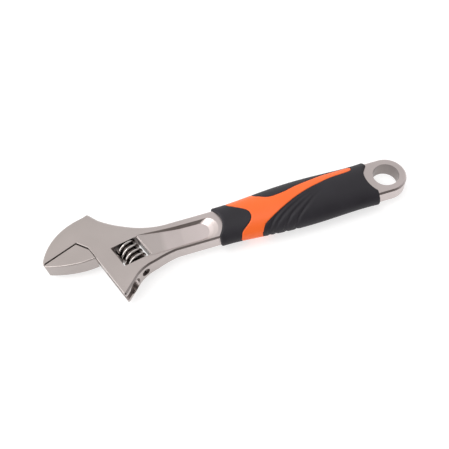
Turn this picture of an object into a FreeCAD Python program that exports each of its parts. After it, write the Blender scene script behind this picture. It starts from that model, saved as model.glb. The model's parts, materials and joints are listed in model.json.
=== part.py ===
"""Adjustable wrench, 10 inch, with a two-component grip.

Millimetres. The origin is the centre of the hanging hole, midway between the
two faces. +X runs along the handle and out of its free end, +Z is square to
the faces, and +Y is the side that the fixed jaw is on. The jaws are closed.

The head has its own directions: u runs across the worm, from the jaws towards
the handle, and v runs along it, from the movable jaw towards the fixed one.
Their zero is the corner where the slide edge meets the plane of the fixed jaw.
"""
import FreeCAD, Part
import math
import os
import re

import Sketcher
from FreeCAD import Placement, Rotation, Vector

SIZES = [
    # the forging, along and across the handle
    ("jaw_distance", 212.8, "hanging hole to the corner of the head, along the handle"),
    ("jaw_rise", 16.5, "corner of the head above the handle's middle line"),
    ("head_angle", 22.5, "turn of the head against the handle, degrees"),
    ("hole_radius", 9.0, "hanging hole"),
    ("ring_radius", 14.0, "ring around the hanging hole, outside"),
    ("shank_rise", 10.9, "shank's upper edge above the handle's middle line"),
    ("shank_drop", 11.7, "shank's lower edge below the handle's middle line"),
    ("shank_thickness", 11.0, "shank and ring, face to face"),
    ("head_thickness", 12.5, "head and jaws, face to face"),
    ("edge_chamfer", 1.1, "chamfer along the forging's outline"),
    ("jaw_chamfer", 0.4, "chamfer along the working edges"),
    ("corner_round", 1.5, "rounding of the outline's sharp corners"),
    ("sweep_round", 12.0, "smoothing where two sweeps of the outline meet"),
    # the fixed jaw and the head's outline
    ("jaw_reach", 30.2, "slide edge to the jaws' tips"),
    ("throat_width", 4.2, "throat, across u"),
    ("throat_depth", 8.4, "throat, along v"),
    ("jaw_height", 16.6, "back of the fixed jaw above its face"),
    ("slide_length", 54.2, "slide edge, from the plane of the fixed jaw"),
    ("ear_reach", 13.2, "small peak where the forging flash was trimmed"),
    ("head_back", 46.9, "rear of the head, below the plane of the fixed jaw"),
    # the recessed panel of the shank
    ("panel_depth", 1.8, "panel floor below the shank's face"),
    ("panel_slope", 1.8, "width of the panel's sloping side at full depth"),
    ("panel_upper_rim", 4.8, "rim above the panel"),
    ("panel_lower_rim", 1.4, "rim below the panel"),
    ("panel_end", 90.8, "panel's round end behind the corner of the head"),
    ("panel_end_slope", 6.5, "length of the panel's sloping end"),
    # the window, the worm and what holds it
    ("window_near", 11.3, "window, near side from the slide edge"),
    ("window_width", 18.3, "window, across u"),
    ("window_top", 19.1, "window, top of the near side"),
    ("window_length", 17.7, "window, along v"),
    ("window_skew", 3.6, "drop of the window's ends across its width"),
    ("window_chamfer", 0.9, "chamfer along the window's far edge"),
    ("worm_offset", 20.4, "worm's axis from the slide edge"),
    ("worm_radius", 7.7, "worm, crest radius"),
    ("thread_depth", 2.1, "worm, crest to root"),
    ("thread_pitch", 4.2, "worm, crest to crest"),
    ("crest_width", 1.6, "worm, width of a ridge just below its round crest"),
    ("end_play", 0.2, "worm's free play in the window, at each end"),
    ("pin_radius", 2.0, "worm's pin"),
    ("pin_clearance", 0.05, "pin in the worm, radial"),
    ("pin_tail", 6.0, "length of pin in the head beyond the window"),
    ("screw_head_radius", 3.0, "head of the worm's pin"),
    ("screw_head_height", 2.4, "head of the worm's pin"),
    ("pin_sink", 1.6, "head of the worm's pin below the rear of the head"),
    ("slot_width", 0.8, "screwdriver slot"),
    ("spring_wire", 0.7, "wire of the worm's spring"),
    ("spring_radius", 2.9, "middle of the spring's wire"),
    ("spring_pocket", 6.0, "depth of the spring's pocket in the worm"),
    ("spring_turns", 5, "turns of the spring"),
    # the movable jaw
    ("jaw_gap", 0.8, "gap between the closed jaws"),
    ("slide_gap", 0.45, "jaw from the slide edge"),
    ("jaw_thickness", 12.3, "movable jaw, face to face"),
    ("heel_depth", 18.7, "movable jaw's heel, below the plane of the fixed jaw"),
    ("jaw_round", 0.8, "rounding of the movable jaw's lower edges"),
    ("rail_offset", 9.2, "middle of the jaw's round rail from the slide edge"),
    ("rail_radius", 5.0, "jaw's round rail"),
    ("rail_length", 28.4, "jaw's rail, toothed all along"),
    ("rail_start", 0.9, "top of the rail below the plane of the fixed jaw"),
    ("rail_clearance", 0.12, "rail in its channel, radial"),
    ("web_thickness", 5.0, "web between the jaw and its rail"),
    ("web_clearance", 0.12, "web in its slot, each side"),
    ("tooth_clearance", 0.25, "worm in the rail's teeth"),
    # the grip
    ("grip_start", 88.8, "front of the grip behind the corner of the head"),
    ("grip_front_width", 29.6, "grip at its front"),
    ("grip_belly_width", 35.4, "grip at its widest"),
    ("grip_rear_width", 34.8, "grip at its rear"),
    ("grip_front_thickness", 18.6, "grip at its front"),
    ("grip_belly_thickness", 22.0, "grip at its thickest"),
    ("grip_rear_thickness", 20.0, "grip at its rear"),
    ("grip_hollow", 5.5, "depth of the hollow in the grip's front end"),
    ("grip_mouth", 24.0, "width of the hollow in the grip's front end"),
    ("ring_gap", 1.6, "gap between the grip's rear end and the ring"),
    ("tang_width", 17.0, "tang inside the grip"),
    ("skin", 2.4, "thickness of the soft moulding"),
]

document = FreeCAD.newDocument("adjustable_wrench")
sheet = document.addObject("Spreadsheet::Sheet", "sizes")
for row, (alias, value, meaning) in enumerate(SIZES, start=1):
    sheet.set("A%d" % row, meaning)
    sheet.set("B%d" % row, str(value))
    sheet.setAlias("B%d" % row, alias)
document.recompute()
ALIASES = {alias for alias, value, meaning in SIZES}


def bound(expression):
    """An expression on sheet names, as the document writes it."""
    return re.sub(r"[a-z_]+", lambda word: "sizes." + word[0] if word[0] in ALIASES else word[0],
                  str(expression))


def number(expression):
    """The present value of an expression on sheet names."""
    value = sheet.evalExpression(bound(expression))
    return float(getattr(value, "Value", value))


def at_head(u, v):
    """Handle coordinates of a point given in the head's own directions."""
    turn = "head_angle * 1 deg"
    return ("-jaw_distance + (%s) * cos(%s) - (%s) * sin(%s)" % (u, turn, v, turn),
            "jaw_rise + (%s) * sin(%s) + (%s) * cos(%s)" % (u, turn, v, turn))


def place_at_head(part):
    """Put a part that was drawn in the head's own directions on the head."""
    part.Placement = Placement(Vector(0, 0, 0), Rotation(Vector(0, 0, 1), number("head_angle")))
    part.setExpression("Placement.Base.x", bound("-jaw_distance"))
    part.setExpression("Placement.Base.y", bound("jaw_rise"))
    part.setExpression("Placement.Rotation.Angle", bound("head_angle"))
    return part


def pin_point(sketch, geometry, end, x, y):
    """Hold one point of a sketch at two expressions."""
    for kind, expression in (("DistanceX", x), ("DistanceY", y)):
        index = sketch.addConstraint(Sketcher.Constraint(kind, -1, 1, geometry, end, number(expression)))
        sketch.setExpression("Constraints[%d]" % index, bound(expression))


def draw(sketch, corners):
    """Add a closed outline. A corner is (x, y), or (x, y, via) where the side
    that ends at it is an arc through the point via."""
    sides = []
    for start, corner in zip([corners[-1]] + corners[:-1], corners):
        head = Vector(number(start[0]), number(start[1]), 0)
        tail = Vector(number(corner[0]), number(corner[1]), 0)
        if len(corner) == 3:
            middle = Vector(number(corner[2][0]), number(corner[2][1]), 0)
            side = sketch.addGeometry(Part.ArcOfCircle(head, middle, tail))
            forward = sketch.getPoint(side, 1).distanceToPoint(head) < 1e-4
            sides.append((side, 1 if forward else 2, 2 if forward else 1))
        else:
            sides.append((sketch.addGeometry(Part.LineSegment(head, tail)), 1, 2))
    for (side, start, finish), corner in zip(sides, corners):
        pin_point(sketch, side, finish, corner[0], corner[1])
    for (side, start, finish), (after, after_start, after_finish) in zip(sides, sides[1:] + sides[:1]):
        sketch.addConstraint(Sketcher.Constraint("Coincident", side, finish, after, after_start))
    for (side, start, finish), corner in zip(sides, corners):
        if len(corner) == 3:
            point = sketch.addGeometry(Part.Point(Vector(number(corner[2][0]), number(corner[2][1]), 0)), True)
            pin_point(sketch, point, 1, corner[2][0], corner[2][1])
            sketch.addConstraint(Sketcher.Constraint("PointOnObject", point, 1, side))


def outline(name, corners, plane="XY", height=0):
    """A sketch of one closed outline on a plane of the document."""
    sketch = document.addObject("Sketcher::SketchObject", name)
    if plane == "XZ":
        sketch.Placement = Placement(Vector(0, 0, 0), Rotation(Vector(1, 0, 0), 90))
    draw(sketch, corners)
    if height:
        sketch.setExpression("Placement.Base.z", bound(height))
    return sketch


def extrude(name, sketch, length, both_ways=True, direction=None):
    """A solid from a sketch, to both sides of it or to one."""
    solid = document.addObject("Part::Extrusion", name)
    solid.Base = sketch
    solid.DirMode = "Normal"
    if direction:
        solid.DirMode = "Custom"
        solid.Dir = direction
    solid.Solid = True
    solid.Symmetric = both_ways
    solid.setExpression("LengthFwd", bound(length))
    return solid


def cylinder(name, radius, length, x=0, y=0, z=0, along="Z"):
    """A cylinder from a point, along +Z or along +Y."""
    solid = document.addObject("Part::Cylinder", name)
    solid.setExpression("Radius", bound(radius))
    solid.setExpression("Height", bound(length))
    if along == "Y":
        solid.Placement = Placement(Vector(0, 0, 0), Rotation(Vector(1, 0, 0), -90))
    for letter, place in zip("xyz", (x, y, z)):
        solid.setExpression("Placement.Base." + letter, bound(place))
    return solid


def box(name, low, high):
    """A box between two corners."""
    solid = document.addObject("Part::Box", name)
    for side, letter, start, stop in zip(("Length", "Width", "Height"), "xyz", low, high):
        solid.setExpression(side, bound("(%s) - (%s)" % (stop, start)))
        solid.setExpression("Placement.Base." + letter, bound(start))
    return solid


def join(name, pieces):
    """Several solids made one."""
    solid = document.addObject("Part::MultiFuse", name)
    solid.Shapes = pieces
    solid.Refine = True
    return solid


def meet(name, pieces):
    """What several solids have in common."""
    solid = document.addObject("Part::MultiCommon", name)
    solid.Shapes = pieces
    solid.Refine = True
    return solid


def cut(name, base, tool):
    """One solid less another."""
    solid = document.addObject("Part::Cut", name)
    solid.Base = base
    solid.Tool = tool
    solid.Refine = True
    return solid


def mirrored(name, source):
    """The same thing on the other face."""
    copy = document.addObject("Part::Mirroring", name)
    copy.Source = source
    copy.Base = Vector(0, 0, 0)
    copy.Normal = Vector(0, 0, 1)
    return copy


def dress(kind, name, base, edges, size):
    """A fillet or a chamfer on chosen edges of a solid."""
    solid = document.addObject("Part::" + kind, name)
    solid.Base = base
    solid.Edges = [(index, size, size) for index in edges]
    return solid


def edges_where(solid, test):
    """Numbers of a solid's edges whose middle and direction pass a test."""
    document.recompute()
    chosen = []
    for index, edge in enumerate(solid.Shape.Edges, start=1):
        middle_parameter = (edge.FirstParameter + edge.LastParameter) / 2
        middle = edge.valueAt(middle_parameter)
        along = edge.tangentAt(middle_parameter)
        if test(middle, along):
            chosen.append(index)
    return chosen


def to_head(point):
    """A point of the handle's frame in the head's own directions."""
    turned = point - Vector(-number("jaw_distance"), number("jaw_rise"), 0)
    turn = math.radians(number("head_angle"))
    return Vector(turned.x * math.cos(turn) + turned.y * math.sin(turn),
                  turned.y * math.cos(turn) - turned.x * math.sin(turn), turned.z)


# The forging: fixed jaw, head, shank, tang and ring in one piece of steel.
# Its outline runs from the fixed jaw's tip over its back and the shank's upper
# edge to the ring, and back along the lower edge to the slide edge.
half_tang = "tang_width / 2"
shank_start = "-jaw_distance + 60"
tang_start = "-jaw_distance + grip_start + 12"
forging_outline = outline("forging_outline", [
    at_head("-jaw_reach", "0"),
    at_head("-jaw_reach", "1.6"),
    at_head("-6.0", "jaw_height - 0.4") + (at_head("-jaw_reach + 14.4", "jaw_height - 3.2"),),
    at_head("ear_reach - 4.2", "jaw_height - 0.9") + (at_head("1.4", "jaw_height"),),
    at_head("ear_reach + 0.2", "jaw_height - 0.9"),
    at_head("ear_reach + 3.2", "jaw_height - 9.8"),
    at_head("ear_reach + 14.4", "jaw_height - 26.2") + (at_head("ear_reach + 8.2", "jaw_height - 18.3"),),
    (shank_start, "shank_rise") + (at_head("ear_reach + 29.2", "-22.9"),),
    (tang_start, "shank_rise"),
    (tang_start + " + 6", half_tang),
    ("-ring_radius - 9", half_tang),
    ("-ring_radius - 5", "ring_radius"),
    ("0", "ring_radius"),
    ("0", "-ring_radius", ("ring_radius", "0")),
    ("-ring_radius - 5", "-ring_radius"),
    ("-ring_radius - 9", "-" + half_tang),
    (tang_start + " + 6", "-" + half_tang),
    (tang_start, "-shank_drop"),
    (shank_start, "-shank_drop"),
    at_head("29.0", "-head_back") + (at_head("39.4", "-head_back - 1.0"),),
    at_head("14.5", "-head_back - 0.9") + (at_head("19.5", "-head_back + 0.3"),),
    at_head("1.2", "-slide_length"),
    at_head("0", "-slide_length"),
    at_head("0", "-throat_depth"),
    at_head("-throat_width", "0"),
])
sharp_plate = extrude("sharp_plate", forging_outline, "head_thickness + 2")


def corner_turn(solid, edge):
    """Angle between the two faces that meet at an upright edge, in degrees."""
    faces = [face for face in solid.Shape.Faces if any(edge.isSame(other) for other in face.Edges)]
    normals = [face.normalAt(*face.Surface.parameter(edge.valueAt(edge.FirstParameter))) for face in faces]
    return math.degrees(normals[0].getAngle(normals[1]))


def upright_edges(solid, test):
    """Numbers of a solid's upright edges, chosen by where and how sharp they are."""
    document.recompute()
    return [index for index, edge in enumerate(solid.Shape.Edges, start=1)
            if abs(edge.tangentAt(edge.FirstParameter).z) > 0.99
            and test(to_head(edge.valueAt(edge.FirstParameter)), corner_turn(solid, edge))]


# Sharp corners of the outline are a little round, and where one sweep runs
# into the next the outline is smoothed. The working corners stay sharp.
sharp_corners = upright_edges(sharp_plate, lambda place, turn: turn > 25 and place.x > 0.5)
rounded_plate = dress("Fillet", "rounded_plate", sharp_plate, sharp_corners, number("corner_round"))
slight_corners = upright_edges(rounded_plate, lambda place, turn: 0.3 < turn <= 25)
forging_plate = dress("Fillet", "forging_plate", rounded_plate, slight_corners, number("sweep_round"))

# Seen from the side the head is thickest, and it thins to the shank in an easy
# double curve behind the window.
half_head = "head_thickness / 2"
half_neck = "shank_thickness / 2"
fall = "(head_thickness - shank_thickness) / 2"
side_outline = outline("side_outline", [
    ("-jaw_distance - jaw_reach - 20", "0"),
    ("-jaw_distance - jaw_reach - 20", half_head),
    ("-jaw_distance + 30", half_head),
    ("-jaw_distance + 48", "(head_thickness + shank_thickness) / 4",
     ("-jaw_distance + 39", half_head + " - " + fall + " / 8")),
    ("-jaw_distance + 66", half_neck, ("-jaw_distance + 57", half_neck + " + " + fall + " / 8")),
    ("ring_radius + 5", half_neck),
    ("ring_radius + 5", "0"),
], plane="XZ")
upper_half = extrude("upper_half", side_outline, "jaw_distance")
lower_half = mirrored("lower_half", upper_half)
side_envelope = join("side_envelope", [upper_half, lower_half])
forging_blank = meet("forging_blank", [forging_plate, side_envelope])


def at_rim(middle, along):
    """Edges between a face of the forging and its outline."""
    return abs(along.z) < 0.5 and abs(middle.z) > 1


def at_working_rim(middle, along):
    """The rim along the fixed jaw's face, the throat and the slide edge."""
    place = to_head(middle)
    return at_rim(middle, along) and place.x < 0.4 and place.y < 0.4


outer_rim = edges_where(forging_blank, lambda middle, along: (
    at_rim(middle, along) and not at_working_rim(middle, along)
    and abs(along.y) < 0.9999))
forging_chamfered = dress("Chamfer", "forging_chamfered", forging_blank, outer_rim,
                          number("edge_chamfer"))
working_rim = edges_where(forging_chamfered, lambda middle, along: (
    at_working_rim(middle, along) and abs(abs(middle.z) - number(half_head)) < 0.01))
forging_body = dress("Chamfer", "forging_body", forging_chamfered, working_rim, number("jaw_chamfer"))

# The panel is pressed into both faces of the shank. Its floor climbs to the
# head's face at the window, its sides slope, and its far end is round.
panel_start = "-jaw_distance + 36"
floor_level = "shank_thickness / 2 - panel_depth"


def panel_outline(name, steps):
    """The panel's outline, some depths of the panel above its floor."""
    top = "shank_rise - panel_upper_rim + (%d - 1) * panel_slope" % steps
    bottom = "-shank_drop + panel_lower_rim - (%d - 1) * panel_slope" % steps
    end = "-jaw_distance + panel_end + (%d - 1) * panel_end_slope" % steps
    return outline(name, [
        (panel_start, bottom),
        (end + " - 6", bottom),
        (end + " - 6", top, (end, "0")),
        ("-jaw_distance + 62", top + " + 0.35"),
        (panel_start, top + " + 0.8"),
    ], height=floor_level + " + %d * panel_depth" % steps)


panel_block = document.addObject("Part::Loft", "panel_block")
panel_block.Sections = [panel_outline("panel_floor", 0), panel_outline("panel_mouth", 3)]
panel_block.Solid = True
panel_block.Ruled = True
panel_level = outline("panel_level", [
    (panel_start, half_head),
    ("-jaw_distance + 66", floor_level, ("-jaw_distance + 50", floor_level + " + panel_depth * 0.6")),
    ("0", floor_level),
    ("0", "head_thickness * 2"),
    (panel_start, "head_thickness * 2"),
], plane="XZ")
above_panel = extrude("above_panel", panel_level, "jaw_distance")
upper_panel = meet("upper_panel", [panel_block, above_panel])
lower_panel = mirrored("lower_panel", upper_panel)

hanging_hole = cylinder("hanging_hole", "hole_radius", "head_thickness * 2", z="-head_thickness")

# What is cut in the head, in the head's own directions: the window, the round
# channel and the slot that the jaw's rail slides in, and the pin's hole.
window_far = "window_near + window_width"
window_outline = outline("window_outline", [
    ("window_near", "-window_top"),
    ("window_near", "-window_top - window_length"),
    (window_far, "-window_top - window_skew - window_length"),
    (window_far, "-window_top - window_skew"),
])
window = extrude("window", window_outline, "head_thickness * 2")
# The window's far edge is broken by a chamfer that goes down with the panel.
edge_break = outline("edge_break", [
    (window_far, half_head + " - window_chamfer"),
    (window_far, half_head + " + 3"),
    (window_far + " + 3 + window_chamfer", half_head + " + 3"),
], plane="XZ")
edge_break.setExpression("Placement.Base.y", bound("-window_top - window_skew"))
upper_break = extrude("upper_break", edge_break, "window_length", both_ways=False,
                      direction=Vector(0, -1, -0.07))
lower_break = mirrored("lower_break", upper_break)
channel = cylinder("channel", "rail_radius + rail_clearance", "slide_length + 10",
                   x="rail_offset", y="-slide_length - 10", along="Y")
slot_half = "(web_thickness / 2 + web_clearance)"
slot = box("slot", ("-throat_width - 1", "-slide_length - 10", "-" + slot_half),
           ("rail_offset", "0", slot_half))

# Along the worm's axis: the window's ends there, and where the worm lies.
skew_at_worm = "window_skew * (worm_offset - window_near) / window_width"
window_top_at_worm = "(-window_top - %s)" % skew_at_worm
window_bottom_at_worm = "(-window_top - window_length - %s)" % skew_at_worm
worm_top = "(-window_top - window_skew * (worm_offset + worm_radius - window_near) / window_width - end_play)"
worm_bottom = ("(-window_top - window_length"
               " - window_skew * (worm_offset - worm_radius - window_near) / window_width + end_play)")
pin_top = "(%s + pin_tail)" % window_top_at_worm
seat_top = "(%s + 0.6)" % window_top_at_worm
pin_hole = cylinder("pin_hole", "pin_radius", "%s - %s" % (pin_top, "(-head_back - 6)"),
                    x="worm_offset", y="-head_back - 6", along="Y")
screw_pocket = cylinder("screw_pocket", "screw_head_radius", "screw_head_height + pin_sink + 6.2",
                        x="worm_offset", y="-head_back - 6", along="Y")
spring_seat = cylinder("spring_seat", "spring_radius + spring_wire", "%s - %s" % (seat_top, worm_top),
                       x="worm_offset", y=worm_top, along="Y")
head_cuts = place_at_head(join("head_cuts", [
    window, upper_break, lower_break, channel, slot, pin_hole, screw_pocket, spring_seat]))
forging_cuts = join("forging_cuts", [head_cuts, upper_panel, lower_panel, hanging_hole])
body_forging = cut("body_forging", forging_body, forging_cuts)

# The worm, drawn standing on z = 0 and then laid along v. A round-crested ridge
# winds round its root cylinder, and both are cut square at the ends.
worm_length = "(%s - %s)" % (worm_top, worm_bottom)
root_radius = "(worm_radius - thread_depth)"
crest_round = "thread_depth / 3"
flank_base = "(crest_width / 2 + thread_depth / 4)"
first_ridge = "(%s / 2 + 0.75 * thread_pitch - 4 * thread_pitch)" % worm_length
worm_root = cylinder("worm_root", root_radius, worm_length)
worm_envelope = cylinder("worm_envelope", "worm_radius + 1", worm_length)
thread_line = document.addObject("Part::Helix", "thread_line")
thread_line.setExpression("Pitch", bound("thread_pitch"))
thread_line.setExpression("Height", bound(worm_length + " + 4 * thread_pitch"))
thread_line.setExpression("Radius", bound("worm_radius"))
thread_line.setExpression("Placement.Base.z", bound(first_ridge))
ridge_section = outline("ridge_section", [
    (root_radius + " - 0.3", first_ridge + " - " + flank_base),
    ("worm_radius - " + crest_round, first_ridge + " - crest_width / 2"),
    ("worm_radius - " + crest_round, first_ridge + " + crest_width / 2", ("worm_radius", first_ridge)),
    (root_radius + " - 0.3", first_ridge + " + " + flank_base),
], plane="XZ")
ridge = document.addObject("Part::Sweep", "ridge")
ridge.Sections = [ridge_section]
document.recompute()
ridge.Spine = (thread_line, ["Edge%d" % (index + 1) for index in range(len(thread_line.Shape.Edges))])
ridge.Solid = True
ridge.Frenet = True
worm_ridge = meet("worm_ridge", [ridge, worm_envelope])
worm_blank = join("worm_blank", [worm_root, worm_ridge])
worm_bore = cylinder("worm_bore", "pin_radius + pin_clearance", worm_length + " + 2", z="-1")
spring_pocket = cylinder("spring_pocket", "spring_radius + spring_wire", "spring_pocket + 1",
                         z=worm_length + " - spring_pocket")
worm_bored = cut("worm_bored", worm_blank, join("worm_bores", [worm_bore, spring_pocket]))


def lay_along_v(part, u, v):
    """Turn a part that stands on z = 0 to lie along v, from the point (u, v)."""
    part.Placement = Placement(Vector(0, 0, 0), Rotation(Vector(1, 0, 0), -90))
    part.setExpression("Placement.Base.x", bound(u))
    part.setExpression("Placement.Base.y", bound(v))
    return part


def keep(name, piece):
    """A part as it lies, so that it can be placed once more as a whole."""
    kept = document.addObject("Part::Compound", name)
    kept.Links = [piece]
    return kept


worm_knurl = place_at_head(keep("worm_knurl", lay_along_v(worm_bored, "worm_offset", worm_bottom)))

# The worm's pin: a slotted screw head in the rear of the head, and a plain
# axle through the worm into the head beyond the window.
axle_foot = "(-head_back + pin_sink + 1)"
axle = cylinder("axle", "pin_radius", "%s - %s" % (pin_top, axle_foot),
                x="worm_offset", y=axle_foot, along="Y")
screw_head = cylinder("screw_head", "screw_head_radius", "screw_head_height",
                      x="worm_offset", y="-head_back + pin_sink", along="Y")
driver_slot = box("driver_slot", ("worm_offset - slot_width / 2", "-head_back - 1", "-screw_head_radius - 1"),
                  ("worm_offset + slot_width / 2", "-head_back + pin_sink + screw_head_height / 2",
                   "screw_head_radius + 1"))
worm_pin = place_at_head(cut("worm_pin", join("pin_blank", [axle, screw_head]), driver_slot))

# The spring that steadies the worm, coiled round the pin in the worm's pocket.
spring_foot = "(%s - spring_pocket + spring_wire / 2 + 0.05)" % worm_top
spring_height = "(%s - spring_wire / 2 - %s)" % (seat_top, spring_foot)
spring_line = document.addObject("Part::Helix", "spring_line")
spring_line.setExpression("Pitch", bound(spring_height + " / spring_turns"))
spring_line.setExpression("Height", bound(spring_height))
spring_line.setExpression("Radius", bound("spring_radius"))
spring_section = document.addObject("Part::Circle", "spring_section")
spring_section.Placement = Placement(Vector(0, 0, 0), Rotation(Vector(1, 0, 0), 90))
spring_section.setExpression("Radius", bound("spring_wire / 2"))
spring_section.setExpression("Placement.Base.x", bound("spring_radius"))
spring_coil = document.addObject("Part::Sweep", "spring_coil")
spring_coil.Sections = [spring_section]
document.recompute()
spring_coil.Spine = (spring_line, ["Edge%d" % (index + 1) for index in range(len(spring_line.Shape.Edges))])
spring_coil.Solid = True
spring_coil.Frenet = True
worm_spring = place_at_head(keep("worm_spring", lay_along_v(spring_coil, "worm_offset", spring_foot)))

# The movable jaw: jaw, web and round rail in one forging. Its upper outline
# keeps a gap from the fixed jaw's face, the throat and the slide edge.
throat_side = "sqrt(throat_width ^ 2 + throat_depth ^ 2)"
jaw_outline = outline("jaw_outline", [
    ("-jaw_reach", "-jaw_gap"),
    ("-jaw_reach", "-jaw_gap - 1.2"),
    ("-9.0", "-heel_depth + 2.8", ("-jaw_reach + 10.6", "-heel_depth + 8.5")),
    ("-slide_gap", "-heel_depth", ("-4.6", "-heel_depth + 1.2")),
    ("-slide_gap", "-throat_depth - (jaw_gap * %s - throat_depth * slide_gap) / throat_width" % throat_side),
    ("-throat_width - jaw_gap * (%s - throat_width) / throat_depth" % throat_side, "-jaw_gap"),
])
jaw_plate = extrude("jaw_plate", jaw_outline, "jaw_thickness")
lower_rim = edges_where(jaw_plate, lambda middle, along: (
    abs(along.z) < 0.5 and abs(middle.z) > 1 and middle.y < -1.5 and abs(along.y) < 0.98))
jaw_body = dress("Fillet", "jaw_body", jaw_plate, lower_rim, number("jaw_round"))

rail_foot = "(-rail_start - rail_length)"
rail = cylinder("rail", "rail_radius", "rail_length", x="rail_offset", y=rail_foot, along="Y")
web = box("web", ("web_clearance", rail_foot, "-web_thickness / 2"),
          ("rail_offset", "-rail_start", "web_thickness / 2"))
web_root = box("web_root", ("-1.5", "-heel_depth + jaw_round / 2", "-web_thickness / 2"),
               ("1.0", "-throat_depth - 1.5", "web_thickness / 2"))
jaw_blank = join("jaw_blank", [jaw_body, web_root, web, rail])

# The rail's teeth are slanted grooves that the worm's ridges run in.
worm_middle = "(%s + %s) / 2" % (worm_top, worm_bottom)
groove_count = int(number("rail_length / thread_pitch")) + 3
tooth_sketch = document.addObject("Sketcher::SketchObject", "tooth_grooves")
for index in range(groove_count):
    middle = "%s + thread_pitch / 4 + %d * thread_pitch" % (worm_middle, index - groove_count // 2 + 2)
    shoulder = "worm_offset - worm_radius + " + crest_round
    mouth = "worm_offset - %s + 0.3" % root_radius
    half_mouth = "(%s + tooth_clearance)" % flank_base
    half_shoulder = "(crest_width / 2 + tooth_clearance)"
    draw(tooth_sketch, [
        (mouth, middle + " - " + half_mouth),
        (mouth, middle + " + " + half_mouth),
        (shoulder, middle + " + " + half_shoulder),
        (shoulder, middle + " - " + half_shoulder,
         ("worm_offset - worm_radius - tooth_clearance", middle)),
    ])
lead = number("thread_pitch / (2 * pi * (worm_radius - thread_depth / 3))")
tooth_grooves = extrude("groove_block", tooth_sketch, "rail_radius * 3", direction=Vector(0, lead, 1))
movable_jaw = place_at_head(cut("movable_jaw", jaw_blank, tooth_grooves))

# The grip is moulded round the tang: an orange hard core with a raised band on
# each face, a collar in front, and a soft moulding round the rest.
grip_front = "(-jaw_distance + grip_start)"


def oval(name, x, width, thickness, inset="0"):
    """A cross-section of the grip."""
    section = document.addObject("Part::Ellipse", name)
    section.Placement = Placement(Vector(0, 0, 0), Rotation(Vector(1, 1, 1), 120))
    section.setExpression("MajorRadius", bound("(%s) / 2 - (%s)" % (width, inset)))
    section.setExpression("MinorRadius", bound("(%s) / 2 - (%s)" % (thickness, inset)))
    section.setExpression("Placement.Base.x", bound(x))
    return section


def loft(name, sections):
    """A smooth solid through cross-sections."""
    solid = document.addObject("Part::Loft", name)
    solid.Sections = sections
    solid.Solid = True
    solid.Ruled = False
    return solid


def grip_form(name, start, end, inset):
    """The grip's swelling form, or the same form inset all round."""
    return loft(name, [
        oval(name + "_front", start, "grip_front_width", "grip_front_thickness", inset),
        oval(name + "_neck", grip_front + " + 14", "grip_front_width + 0.3", "grip_front_thickness + 0.2", inset),
        oval(name + "_belly", grip_front + " + 52", "grip_belly_width", "grip_belly_thickness", inset),
        oval(name + "_palm", grip_front + " + 82", "grip_belly_width - 0.3", "grip_belly_thickness - 1", inset),
        oval(name + "_rear", end, "grip_rear_width", "grip_rear_thickness", inset),
    ])


mouth_curve = "((grip_mouth ^ 2 / 4 + grip_hollow ^ 2) / (2 * grip_hollow))"
front_hollow = cylinder("front_hollow", mouth_curve, "grip_belly_thickness * 2",
                        x="%s + grip_hollow - %s" % (grip_front, mouth_curve), z="-grip_belly_thickness")
ring_clear = cylinder("ring_clear", "ring_radius + ring_gap", "grip_belly_thickness * 2",
                      z="-grip_belly_thickness")
grip_ends = join("grip_ends", [front_hollow, ring_clear])
grip_shape = cut("grip_shape", grip_form("grip_outside", grip_front, "-ring_radius + 3", "0"), grip_ends)
core_sleeve = grip_form("core_sleeve", grip_front + " + grip_hollow + 3.5", "-ring_radius - 10", "skin")

collar_edge = [
    (grip_front + " + 12.5", "grip_belly_width"),
    (grip_front + " + 13.5", "11.5"),
    (grip_front + " + 25.2", "-4.0", (grip_front + " + 21.8", "3.0")),
    (grip_front + " + 15.4", "-14.2", (grip_front + " + 20.9", "-9.6")),
    (grip_front + " + 14.6", "-grip_belly_width"),
]
collar_region = extrude("collar_region", outline("collar_outline", collar_edge + [
    (grip_front + " - 10", "-grip_belly_width"),
    (grip_front + " - 10", "grip_belly_width"),
]), "grip_belly_thickness * 2")
band_region = extrude("band_region", outline("band_outline", [
    (grip_front + " + 29.5", "-grip_belly_width"),
    (grip_front + " + 29.9", "-16.2"),
    (grip_front + " + 36.2", "-10.6", (grip_front + " + 31.6", "-13.2")),
    (grip_front + " + 57.3", "-0.6", (grip_front + " + 46.4", "-5.6")),
    (grip_front + " + 98.5", "9.3", (grip_front + " + 77.1", "6.1")),
    (grip_front + " + 99.5", "13.9", (grip_front + " + 102.5", "11.8")),
    (grip_front + " + 72.7", "11.4", (grip_front + " + 86", "13.4")),
    (grip_front + " + 46.7", "6.1", (grip_front + " + 59", "8.6")),
    (grip_front + " + 31.5", "12.6", (grip_front + " + 38.0", "7.2")),
    (grip_front + " + 31.0", "grip_belly_width"),
    (grip_front + " - 10", "grip_belly_width"),
    (grip_front + " - 10", "-grip_belly_width"),
]), "grip_belly_thickness * 2")
collar_block = meet("collar_block", [grip_shape, collar_region])
band_block = meet("band_block", [grip_shape, cut("band_shape", band_region, collar_region)])
core_block = join("core_block", [core_sleeve, band_block])
collar_less_core = cut("collar_less_core", collar_block, core_sleeve)
rest_block = cut("rest_block", cut("grip_less_collar", grip_shape, collar_region), band_region)
rest_less_core = cut("rest_less_core", rest_block, core_sleeve)
grip_core = cut("grip_hard_core", core_block, body_forging)
grip_collar = cut("grip_front_collar", collar_less_core, body_forging)
grip_soft = cut("grip_soft_overmould", rest_less_core, body_forging)

SUBPARTS = {
    "body_forging": body_forging,
    "movable_jaw": movable_jaw,
    "worm_knurl": worm_knurl,
    "worm_pin": worm_pin,
    "worm_spring": worm_spring,
    "grip_hard_core": grip_core,
    "grip_front_collar": grip_collar,
    "grip_soft_overmould": grip_soft,
}

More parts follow.
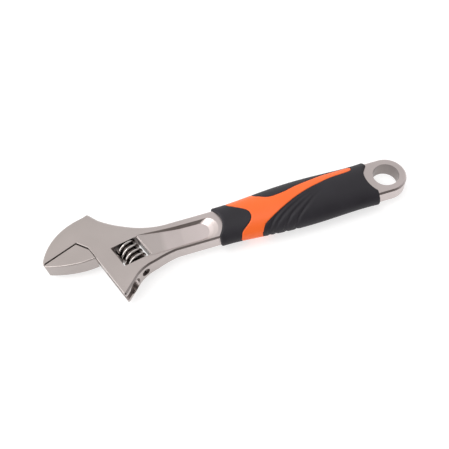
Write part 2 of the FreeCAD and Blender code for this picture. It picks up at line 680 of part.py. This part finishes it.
document.recompute()
for item in document.Objects:
    if "Invalid" in item.State or "Error" in item.State:
        raise RuntimeError("%s did not build: %s" % (item.Name, item.State))
os.makedirs("parts", exist_ok=True)
for name, part in SUBPARTS.items():
    part.Label = name
    if part.Shape.isNull() or not part.Shape.isValid():
        raise RuntimeError("%s has no valid shape" % name)
    print("%-22s %8.1f mm3, %d solid" % (name, part.Shape.Volume, len(part.Shape.Solids)))
    part.Shape.exportStep("parts/%s.step" % name)
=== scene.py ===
"""Adjustable wrench with a two-colour moulded grip, lying on a pale floor. Metres."""
import json
import math

import bmesh
import bpy
import numpy as np
from mathutils import Matrix, Vector


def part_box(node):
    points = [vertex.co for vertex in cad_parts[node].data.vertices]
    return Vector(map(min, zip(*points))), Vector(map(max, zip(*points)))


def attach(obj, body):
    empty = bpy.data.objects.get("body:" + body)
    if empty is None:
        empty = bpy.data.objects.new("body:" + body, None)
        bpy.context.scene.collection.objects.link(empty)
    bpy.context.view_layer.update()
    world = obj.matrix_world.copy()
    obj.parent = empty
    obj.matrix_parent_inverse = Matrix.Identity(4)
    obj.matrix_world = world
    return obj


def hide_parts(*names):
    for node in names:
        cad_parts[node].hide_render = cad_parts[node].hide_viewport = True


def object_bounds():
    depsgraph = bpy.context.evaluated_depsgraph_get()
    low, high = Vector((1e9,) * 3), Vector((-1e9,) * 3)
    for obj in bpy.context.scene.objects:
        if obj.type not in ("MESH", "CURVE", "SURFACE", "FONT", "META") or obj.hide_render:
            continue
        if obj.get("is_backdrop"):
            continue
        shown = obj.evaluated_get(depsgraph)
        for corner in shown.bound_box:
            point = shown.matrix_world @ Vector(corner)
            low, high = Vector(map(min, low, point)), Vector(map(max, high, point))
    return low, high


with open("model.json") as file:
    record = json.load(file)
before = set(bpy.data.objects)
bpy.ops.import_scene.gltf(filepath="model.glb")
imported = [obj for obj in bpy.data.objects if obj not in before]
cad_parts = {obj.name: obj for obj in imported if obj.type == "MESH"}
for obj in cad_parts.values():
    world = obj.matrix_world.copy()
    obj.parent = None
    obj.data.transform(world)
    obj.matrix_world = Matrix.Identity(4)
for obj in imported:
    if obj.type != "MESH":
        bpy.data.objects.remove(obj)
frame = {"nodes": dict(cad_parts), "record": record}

low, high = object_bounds()
MM = 0.001

# ---------------------------------------------------------------------------
# The floor is a sheet of matt white card that the wrench lies on. It reaches
# far past the tool on every side and is only there to catch light.
floor_reach = 3.0
floor_gap = 0.0002
floor_mesh = bmesh.new()
bmesh.ops.create_grid(floor_mesh, x_segments=1, y_segments=1, size=floor_reach,
                      matrix=Matrix.Translation((low.x / 2, 0, low.z - floor_gap)))
floor_data = bpy.data.meshes.new("floor")
floor_mesh.to_mesh(floor_data)
floor_mesh.free()
floor = bpy.data.objects.new("floor", floor_data)
bpy.context.scene.collection.objects.link(floor)
floor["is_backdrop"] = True


class Wire:
    """A shader socket that takes part in sums: an expression on wires adds its
    Math nodes."""

    def __init__(self, tree, socket):
        self.tree = tree
        self.socket = socket

    def node(self, kind, inputs, output=0, stops=(), **settings):
        """Another node of the same tree: its settings, then its sockets' values
        or links, by name or number. Gives the wire of one output."""
        added = self.tree.nodes.new("ShaderNode" + kind)
        for name, value in settings.items():
            setattr(added, name, value)
        for index, (place, colour) in enumerate(stops):
            ramp = added.color_ramp.elements
            stop = ramp[index] if index < len(ramp) else ramp.new(place)
            stop.position = place
            stop.color = (*colour, 1)
        for name, value in inputs.items():
            if isinstance(value, Wire):
                self.tree.links.new(value.socket, added.inputs[name])
            else:
                added.inputs[name].default_value = value
        return Wire(self.tree, added.outputs[output])

    def math(self, operation, first, second=0.0):
        return self.node("Math", {0: first, 1: second}, operation=operation)

    def __add__(self, other):
        return self.math("ADD", self, other)

    __radd__ = __add__

    def __sub__(self, other):
        return self.math("SUBTRACT", self, other)

    def __rsub__(self, other):
        return self.math("SUBTRACT", other, self)

    def __mul__(self, other):
        return self.math("MULTIPLY", self, other)

    __rmul__ = __mul__

    def __abs__(self):
        return self.math("ABSOLUTE", self)


def material(name, constants):
    """A material whose shader has these constants. Gives it, its shader and the
    wire of the object's own coordinates."""
    made = bpy.data.materials.new(name)
    made.use_nodes = True
    tree = made.node_tree
    shader = tree.nodes["Principled BSDF"]
    for socket, value in constants.items():
        shader.inputs[socket].default_value = value
    coordinates = tree.nodes.new("ShaderNodeTexCoord")
    return made, shader, Wire(tree, coordinates.outputs["Object"])


def feed(shader, **wires):
    """Link wires to a shader's sockets; an underscore stands for a space."""
    for name, wire in wires.items():
        wire.tree.links.new(wire.socket, shader.inputs[name.replace("_", " ")])


card_glow = 0.68
card, card_shader, place = material("white_card", {
    "Roughness": 0.9, "Emission Color": (1, 1, 1, 1), "Emission Strength": card_glow})
card_tint = place.node("TexNoise", {"Vector": place, "Scale": 2.0, "Detail": 2.0})
feed(card_shader, Base_Color=place.node("ValToRGB", {"Fac": card_tint}, stops=[
    (0.3, (0.42, 0.42, 0.42)), (0.7, (0.46, 0.46, 0.46))]))
floor_data.materials.append(card)

# ---------------------------------------------------------------------------
# Studio light: the room is one big white tent, brighter behind the tool, with a
# window on the left. A dark flag stands on the near side beside the camera, and
# a soft lamp hangs overhead.
world = bpy.data.worlds.new("studio")
bpy.context.scene.world = world
world.use_nodes = True
sky = world.node_tree
toward = Wire(sky, sky.nodes.new("ShaderNodeTexCoord").outputs["Generated"])
toward_x = toward.node("SeparateXYZ", {"Vector": toward}, output=0)
toward_y = toward.node("SeparateXYZ", {"Vector": toward}, output=1)
tent = toward.node("ValToRGB", {"Fac": toward_y * 0.5 + 0.5}, stops=[
    (0.06, (0.50, 0.49, 0.49)), (0.30, (0.50, 0.485, 0.49)),
    (0.55, (0.76, 0.75, 0.76)), (0.95, (0.86, 0.85, 0.84))])
window_light = toward.node("ValToRGB", {"Fac": 0.5 - toward_x * 0.5}, stops=[
    (0.50, (0.0, 0.0, 0.0)), (0.70, (0.38, 0.37, 0.34)), (0.97, (1.5, 1.5, 1.5))])

flag_way = (0.08, -0.84, 0.53)
flag_edge, flag_core = 0.72, 0.90
flag_black = (0.05, 0.035, 0.03, 1)
near_flag = toward.node("VectorMath", {0: toward, 1: flag_way}, output=1, operation="DOT_PRODUCT")
shade = toward.node("MapRange", {"Value": near_flag, "From Min": flag_edge, "From Max": flag_core})
flagged = toward.node("Mix", {0: shade, 6: tent, 7: flag_black}, output=2, data_type="RGBA")
room = toward.node("Mix", {0: 1.0, 6: flagged, 7: window_light}, output=2,
                   data_type="RGBA", blend_type="ADD")
sky.links.new(room.socket, sky.nodes["Background"].inputs["Color"])
sky.nodes["Background"].inputs["Strength"].default_value = 1.0

lamp_data = bpy.data.lights.new("overhead", "SUN")
lamp_data.energy = 0.8
lamp_data.angle = 0.5
lamp_way = Vector((-0.28, -0.05, 0.96))
lamp = bpy.data.objects.new("overhead", lamp_data)
lamp.rotation_euler = lamp_way.to_track_quat("Z", "Y").to_euler()
bpy.context.scene.collection.objects.link(lamp)

# The camera stands over the near side of the head and looks along the handle.
camera_place = (-0.14904, -0.21850, 0.34608)
camera_looks = Vector((0.07834, 0.53305, -0.84245))
camera_up = Vector((0.27409, 0.80097, 0.53228))
camera_data = bpy.data.cameras.new("camera")
camera_data.lens = 48.1
camera = bpy.data.objects.new("camera", camera_data)
camera_turn = Matrix((camera_looks.cross(camera_up), camera_up, -camera_looks)).transposed().to_4x4()
camera.matrix_world = Matrix.Translation(camera_place) @ camera_turn
bpy.context.scene.collection.objects.link(camera)
bpy.context.scene.camera = camera
bpy.context.scene.view_settings.view_transform = "Standard"

# ---------------------------------------------------------------------------
# The forging is one piece of steel: fixed jaw, head, shank, tang and ring. It
# is drop forged, tumbled, and plated with satin nickel. The head is ground
# duller than the shank, and the pressed panel is the brightest.
above_panel = 0.0047
in_panel = 0.0044
dull_before = -0.22
bright_behind = -0.12
texture_depth = 0.0002
plated, plated_shader, place = material("satin_nickel_plate", {"Metallic": 1.0})
along = place.node("SeparateXYZ", {"Vector": place}, output=0)
height = abs(place.node("SeparateXYZ", {"Vector": place}, output=2))
facing = place.node("TexCoord", {}, output=1)
flatness = abs(place.node("SeparateXYZ", {"Vector": facing}, output=2))
broad = place.node("TexNoise", {"Vector": place, "Scale": 28.0, "Detail": 3.0})
fine = place.node("TexNoise", {"Vector": place, "Scale": 900.0, "Detail": 4.0})
grain = place.node("Mapping", {"Vector": place, "Scale": (900.0, 5200.0, 2500.0)})
brushed = place.node("TexNoise", {"Vector": grain, "Scale": 1.0, "Detail": 2.0})
buffed = place.node("MapRange", {"Value": along, "From Min": dull_before, "From Max": bright_behind})
panel = (place.node("MapRange", {"Value": height, "From Min": above_panel, "From Max": in_panel})
         * place.node("MapRange", {"Value": flatness, "From Min": 0.9, "From Max": 0.97}))
nickel = place.node("ValToRGB", {"Fac": broad * 0.4 + buffed * 0.5 + panel * 0.25}, stops=[
    (0.12, (0.40, 0.360, 0.345)), (0.5, (0.50, 0.450, 0.435)), (0.95, (0.66, 0.585, 0.575))])

# Painted shade darkens the upright walls of the worm's window and of the hole, where these recesses lie in
# shade.
worm_low, worm_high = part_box("worm_knurl")
worm_middle = (worm_low + worm_high) / 2
head_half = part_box("body_forging")[1].z
window_half = 0.0125
hole_radius = 0.0091
painted_shade_tint = (0.10, 0.085, 0.08, 1)
in_plan = place.node("VectorMath", {0: place, 1: (1.0, 1.0, 0.0)}, operation="MULTIPLY")
from_hole = place.node("VectorMath", {0: in_plan}, output=1, operation="LENGTH")
from_worm = place.node("VectorMath", {0: in_plan, 1: (worm_middle.x, worm_middle.y, 0.0)}, output=1,
                       operation="DISTANCE")
hole = place.node("MapRange", {"Value": from_hole, "From Min": hole_radius + 0.0002, "From Max": hole_radius})
window = (place.node("MapRange", {"Value": from_worm, "From Min": window_half,
                                  "From Max": window_half - 0.001})
          * place.node("MapRange", {"Value": height, "From Min": head_half - 0.0009,
                                    "From Max": head_half - 0.0018}))
upright = place.node("MapRange", {"Value": flatness, "From Min": 0.25, "From Max": 0.1})
# Painted shade on the recess walls, mixed into the plate's colour below.
painted_shade = upright * (window * 0.75 + hole * 0.6)
feed(plated_shader,
     Base_Color=place.node("Mix", {0: painted_shade, 6: nickel, 7: painted_shade_tint}, output=2, data_type="RGBA"),
     Roughness=broad * 0.10 + brushed * 0.06 + 0.28,
     Normal=place.node("Bump", {"Height": brushed * 0.4 + fine * 0.6, "Strength": 0.10,
                                "Distance": texture_depth}))


def finish_node(name, finish):
    """Give one of the frame's own pieces its material."""
    piece = frame["nodes"][name].data
    piece.materials.clear()
    piece.materials.append(finish)


finish_node("body_forging", plated)

# The movable jaw is a forging with the same plate. Its round rail carries the
# teeth that the worm runs in.
finish_node("movable_jaw", plated)

# ---------------------------------------------------------------------------
# The worm, its slotted pin and its spring are turned, bright steel. Painted shade
# darkens the worm down in its grooves.
groove_radius = 0.0058
ridge_radius = 0.0072
groove_shade_tint = (0.09, 0.075, 0.07, 1)
worm_axis = frame["record"]["behaviour"]["joints"][0]["axis"]
bright, bright_shader, place = material("bright_steel", {"Metallic": 1.0})
smear = place.node("TexNoise", {"Vector": place, "Scale": 240.0, "Detail": 3.0})
from_middle = place.node("VectorMath", {0: place, 1: worm_middle}, operation="SUBTRACT")
across = place.node("VectorMath", {0: from_middle, 1: worm_axis}, operation="CROSS_PRODUCT")
radius = place.node("VectorMath", {0: across}, output=1, operation="LENGTH")
# Painted shade: the colour darkens towards the worm's axis, down in the grooves.
ridge = place.node("MapRange", {"Value": radius, "From Min": groove_radius, "From Max": ridge_radius})
steel = place.node("ValToRGB", {"Fac": smear}, stops=[
    (0.35, (0.52, 0.49, 0.47)), (0.7, (0.68, 0.64, 0.62))])
feed(bright_shader,
     Base_Color=place.node("Mix", {0: ridge, 6: groove_shade_tint, 7: steel}, output=2, data_type="RGBA"),
     Roughness=smear * 0.14 + 0.13,
     Normal=place.node("Bump", {"Height": smear, "Strength": 0.08, "Distance": texture_depth}))
finish_node("worm_knurl", bright)
finish_node("worm_pin", bright)
finish_node("worm_spring", bright)

# ---------------------------------------------------------------------------
# The grip is moulded in two shots round the tang. Its three pieces meet in fine
# seams on one swelling form, whose sections are ovals that change slowly.
grip_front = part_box("grip_front_collar")[0].x / MM
grip_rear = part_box("grip_soft_overmould")[1].x / MM
stations = [grip_front, grip_front + 14.0, grip_front + 52.0, grip_front + 82.0, grip_rear]
half_width = np.polyfit(stations, [14.8, 14.95, 17.7, 17.55, 17.4], 4)
half_depth = np.polyfit(stations, [9.3, 9.4, 11.0, 10.5, 10.0], 4)
seam_round = 0.5
rim_round = 1.4
wall = 2.35


def round_the_grip(x, y):
    """How far round the grip from its ridge line a point of its plan lies."""
    width = np.polyval(half_width, x)
    return width * np.arcsin(np.clip(y / width, -1, 1))


def smooth_line(corners, steps=12):
    """A line through points of the grip's plan, as closely spaced points that
    lie at x and at a distance round the grip."""
    before = np.vstack([2 * corners[0] - corners[1], corners[:-1]])
    after = np.vstack([corners[1:], 2 * corners[-1] - corners[-2]])
    slope = (after - before) / 2
    part = np.linspace(0, 1, steps, endpoint=False)[:, None]
    spans = [(2 * part ** 3 - 3 * part ** 2 + 1) * corners[i]
             + (part ** 3 - 2 * part ** 2 + part) * slope[i]
             + (3 * part ** 2 - 2 * part ** 3) * corners[i + 1]
             + (part ** 3 - part ** 2) * slope[i + 1]
             for i in range(len(corners) - 1)]
    return np.vstack(spans + [corners[-1:]])


def distance_to(points, line):
    """Distance from each point to the nearest part of a line."""
    start, step = line[:-1], np.diff(line, axis=0)
    nearest = np.full(len(points), 1e9)
    for corner, way in zip(start, step):
        offset = points - corner
        along = np.clip(offset @ way / max(way @ way, 1e-12), 0, 1)
        nearest = np.minimum(nearest, np.hypot(*(offset - along[:, None] * way).T))
    return nearest


def inside(points, loop):
    """Whether each point lies inside a closed loop."""
    within = np.zeros(len(points), bool)
    x, y = points.T
    for (x0, y0), (x1, y1) in zip(loop, np.roll(loop, -1, axis=0)):
        if y0 != y1:
            crosses = (y0 > y) != (y1 > y)
            within ^= crosses & (x < (x1 - x0) * (y - y0) / (y1 - y0) + x0)
    return within


def behind_line(points, line):
    """Signed distance from a line that runs down across the grip: more than
    nothing behind it, less in front."""
    ahead = grip_front - 90
    front = np.vstack([line, [[ahead, line[-1][1]], [ahead, line[0][1]]]])
    return distance_to(points, line) * np.where(inside(points, front), -1, 1)


def from_front(corners):
    """Points whose x is given as a distance behind the grip's front."""
    return np.array(corners, float) + (grip_front, 0)


def wrapped(corners):
    """Plan points of the grip with y turned into distance round the grip."""
    return np.column_stack([corners[:, 0], round_the_grip(corners[:, 0], corners[:, 1])])


# Both ends of the grip are hollow: the front round the shank's panel, the rear
# round the ring. The collar's lip stands out all round the front hollow.
mouth_depth = 5.5
mouth_recess = 2.4
horn_start = 0.9
mouth_radius = 15.84
mouth_middle = grip_front + mouth_depth - mouth_radius
ring_clear = 15.6
past_side = 60
mouth_turns = np.radians(np.linspace(44.0, -44.0, 25))
mouth_arc = wrapped(np.column_stack([mouth_middle + mouth_radius * np.cos(mouth_turns),
                                     mouth_radius * np.sin(mouth_turns)]))
mouth_line = np.vstack([from_front([(horn_start, past_side)]), mouth_arc,
                        from_front([(horn_start, -past_side)])])
ring_turns = np.radians(np.linspace(132.5, 227.5, 25))
ring_arc = wrapped(np.column_stack([ring_clear * np.cos(ring_turns), ring_clear * np.sin(ring_turns)]))
ring_line = np.vstack([[[grip_rear, past_side]], ring_arc, [[grip_rear, -past_side]]])

# The collar's rear edge is a wave; the soft moulding's front edge is a long
# hook that leaves the orange sweep between its upper strip and its pad.
collar_line = smooth_line(np.vstack([
    from_front([(12.0, past_side), (12.0, 26)]),
    wrapped(from_front([
        (12.0, 11.5), (16.4, 6.9), (22.2, 2.4), (24.7, -0.7), (25.2, -4.5), (23.3, -7.9), (19.5, -10.6),
        (16.3, -13.0), (15.1, -15.0)])),
    from_front([(14.7, -25), (14.7, -past_side)])]))
soft_line = smooth_line(np.vstack([
    from_front([(30.8, past_side), (30.8, 24)]),
    wrapped(from_front([
        (31.5, 12.4), (35.2, 9.3), (38.9, 6.8), (42.8, 5.9), (46.7, 6.1), (52.6, 6.9), (60.6, 9.1),
        (72.7, 11.4), (83.0, 13.3), (99.5, 14.4), (102.6, 13.4), (102.6, 11.8), (100.3, 9.6), (87.2, 8.2),
        (77.1, 5.9), (67.2, 3.1), (57.3, -0.6), (49.6, -4.1), (42.9, -7.3), (36.2, -10.6), (32.5, -12.7),
        (30.1, -15.7)])),
    from_front([(29.7, -25), (29.7, -past_side)])]))
LINES = {"mouth": mouth_line, "collar": collar_line, "soft": soft_line, "ring": ring_line}

# The soft pad's curved grooves fan out from beside the sweep to the lower edge
# and leave three crescent ribs between them. They run out at their upper ends.
GROOVES = [smooth_line(from_front(corners), steps=8) for corners in (
    [(32.0, -29.0), (34.4, -20.5), (39.4, -12.2), (48.0, -5.8), (58.0, -1.4), (66.0, 1.0)],
    [(36.4, -29.0), (39.6, -18.6), (46.0, -11.1), (56.6, -4.7), (65.4, -1.1), (73.0, 1.2)],
    [(43.4, -29.0), (46.8, -19.2), (51.8, -12.2), (59.4, -6.9), (67.6, -2.6), (75.5, 0.6)],
    [(51.0, -29.0), (54.6, -18.4), (59.2, -12.4), (67.9, -5.4), (73.4, -2.2), (78.5, 0.0)])]
groove_depth = 0.62
groove_half = 0.95
run_out = 14.0


def groove_below(points):
    """How far the grooves lie below the form at points of the grip."""
    below = np.zeros(len(points))
    for path in GROOVES:
        shape = np.exp(-(distance_to(points, path) / groove_half) ** 2)
        below = np.maximum(below, shape * np.clip((path[-1][0] - points[:, 0]) / run_out, 0, 1))
    return groove_depth * below


def grip_form(rings=216, spokes=176, form_margin=1.5, weld=0.02):
    """The grip's outside as a fine tube that runs past both of its ends. Each
    vertex keeps its signed distances from the four edge lines, and how far the
    grooves lie below the form there."""
    form = bmesh.new()
    bmesh.ops.create_grid(form, x_segments=rings, y_segments=spokes, size=1.0)
    start = grip_front - form_margin
    length = grip_rear + form_margin - start
    plan = []
    for vert in form.verts:
        x = start + (vert.co.x + 1) / 2 * length
        turn = vert.co.y * math.pi
        y = np.polyval(half_width, x) * math.sin(turn)
        plan.append((x, y))
        vert.co = (x, y, np.polyval(half_depth, x) * math.cos(turn))
    plan = wrapped(np.array(plan))
    levels = {name: behind_line(plan, line) for name, line in LINES.items()}
    levels["groove"] = groove_below(plan)
    for name in levels:
        form.verts.layers.float.new(name)
    for name, values in levels.items():
        layer = form.verts.layers.float[name]
        for vert, value in zip(form.verts, values):
            vert[layer] = value
    bmesh.ops.remove_doubles(form, verts=form.verts, dist=weld)
    return form


def trace(form, name, offset, close=0.03):
    """Cut the form's faces along the line at a signed distance from an edge."""
    layers = form.verts.layers.float.values()
    level = form.verts.layers.float[name]
    on_line = [vert for vert in form.verts if abs(vert[level] - offset) < close]
    for vert in on_line:
        vert[level] = offset
    crossing = [edge for edge in form.edges
                if (edge.verts[0][level] - offset) * (edge.verts[1][level] - offset) < 0]
    for edge in crossing:
        first, second = edge.verts
        part = (first[level] - offset) / (first[level] - second[level])
        values = [first[layer] + part * (second[layer] - first[layer]) for layer in layers]
        added = bmesh.utils.edge_split(edge, first, part)[1]
        for layer, value in zip(layers, values):
            added[layer] = value
        added[level] = offset
        on_line.append(added)
    bmesh.ops.connect_verts(form, verts=on_line)


# Lines on both sides of each seam, and inside each rim, carry the round edges.
whole_grip = grip_form()
lip = 0.06
for seam in ("collar", "soft"):
    for offset in (0, lip, -lip, 0.4 * seam_round, -0.4 * seam_round, seam_round, -seam_round):
        trace(whole_grip, seam, offset)
for rim, side in (("mouth", 1), ("ring", -1)):
    for part in (0, 0.12, 0.4, 1.0):
        trace(whole_grip, rim, side * part * rim_round)
trace(whole_grip, "mouth", mouth_recess)


def sunk(distance, radius):
    """How far a round edge lies below the form, at a distance inside it."""
    reach = radius - min(max(distance, 0), radius)
    return radius - math.sqrt(radius ** 2 - reach ** 2)


# Near both ends the mouldings close in on the steel and are thick.
front_thick = grip_front + 9.5
rear_thick = grip_rear - 12.5
bore_width = 0.5
bore_depth = 0.42


def grip_piece(name, belongs, lies_below, walled):
    """Cut one piece out of the form: which of its faces belong, how far below
    the form each vertex lies, and whether the piece is a wall or solid."""
    piece = whole_grip.copy()
    layers = dict(piece.verts.layers.float.items())

    def levels(vert):
        return {line: vert[layer] for line, layer in layers.items()}

    outside = []
    for face in piece.faces:
        middle = {line: sum(vert[layer] for vert in face.verts) / len(face.verts)
                  for line, layer in layers.items()}
        if not belongs(middle, face.calc_center_median().x):
            outside.append(face)
    bmesh.ops.delete(piece, geom=outside, context="FACES")
    inner = outer = list(piece.verts)
    if walled:
        grown = bmesh.ops.extrude_face_region(piece, geom=list(piece.faces), use_keep_orig=True)
        outer = [item for item in grown["geom"] if isinstance(item, bmesh.types.BMVert)]
    for vert in outer:
        x, y, z = vert.co
        square = Vector((0, y / np.polyval(half_width, x) ** 2, z / np.polyval(half_depth, x) ** 2))
        vert.co -= square.normalized() * lies_below(levels(vert))
    if walled:
        for vert in inner:
            x, y, z = vert.co
            by_an_end = x < front_thick or x > rear_thick
            thick = by_an_end and vert[layers["mouth"]] > mouth_recess
            y *= bore_width if thick else 1 - wall / np.polyval(half_width, x)
            z *= bore_depth if thick else 1 - wall / np.polyval(half_depth, x)
            if x < front_thick:
                x = max(x, mouth_middle + math.sqrt(mouth_radius ** 2 - y ** 2))
            if x > rear_thick:
                x = min(x, -math.sqrt(ring_clear ** 2 - y ** 2))
            vert.co = (x, y, z)
    else:
        bmesh.ops.holes_fill(piece, edges=[edge for edge in piece.edges if edge.is_boundary], sides=0)
    for vert in piece.verts:
        vert.co *= MM
    bmesh.ops.recalc_face_normals(piece, faces=piece.faces)
    for face in piece.faces:
        face.smooth = True
    data = bpy.data.meshes.new(name)
    piece.to_mesh(data)
    piece.free()
    made = bpy.data.objects.new(name, data)
    bpy.context.scene.collection.objects.link(made)
    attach(made, "frame")
    return made


# The collar is the black moulding at the grip's front, with a wavy edge against
# the orange and a round rim about its mouth.
black, black_shader, place = material("black_moulding", {"Specular IOR Level": 0.3})
cloud = place.node("TexNoise", {"Vector": place, "Scale": 60.0, "Detail": 3.0})
leather = place.node("TexVoronoi", {"Vector": place, "Scale": 1700.0})
feed(black_shader,
     Base_Color=place.node("ValToRGB", {"Fac": cloud}, stops=[
         (0.3, (0.017, 0.0155, 0.020)), (0.7, (0.022, 0.0205, 0.026))]),
     Roughness=cloud * 0.12 + 0.50,
     Normal=place.node("Bump", {"Height": leather, "Strength": 0.18, "Distance": texture_depth}))
collar = grip_piece(
    "collar", lambda line, x: line["mouth"] > 0 and line["collar"] < 0,
    lambda line: max(sunk(-line["collar"], seam_round), sunk(line["mouth"], rim_round)), True)
collar.data.materials.append(black)
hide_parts("grip_front_collar")

# The orange core shows as a sweep on each face; under the black mouldings it
# is a sleeve round the tang.
orange, orange_shader, place = material("orange_moulding", {"Specular IOR Level": 0.4})
cloud = place.node("TexNoise", {"Vector": place, "Scale": 45.0, "Detail": 3.0})
leather = place.node("TexNoise", {"Vector": place, "Scale": 1500.0, "Detail": 2.0})
feed(orange_shader,
     Base_Color=place.node("ValToRGB", {"Fac": cloud}, stops=[
         (0.3, (0.92, 0.140, 0.018)), (0.7, (0.96, 0.155, 0.026))]),
     Roughness=cloud * 0.10 + 0.36,
     Normal=place.node("Bump", {"Height": leather, "Strength": 0.10, "Distance": texture_depth}))


sleeve_gap = 0.1


def sweep_depth(line):
    """The sweep keeps the form's height, with round edges; the rest is sleeve."""
    within = min(line["collar"], -line["soft"])
    return wall + sleeve_gap if within < lip / 2 else sunk(within - lip, seam_round - lip)


sleeve_start = grip_front + 9.2
sleeve_stop = grip_rear - 6.5
core = grip_piece("core", lambda line, x: sleeve_start < x < sleeve_stop, sweep_depth, False)
core.data.materials.append(orange)
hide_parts("grip_hard_core")

# The soft moulding is the same black: an upper strip, and a pad that widens
# over the palm and ends round the ring.
soft = grip_piece(
    "soft", lambda line, x: line["soft"] > 0 and line["ring"] < 0,
    lambda line: max(sunk(line["soft"], seam_round), sunk(-line["ring"], rim_round), line["groove"]), True)
soft.data.materials.append(black)
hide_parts("grip_soft_overmould")
whole_grip.free()

low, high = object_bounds()
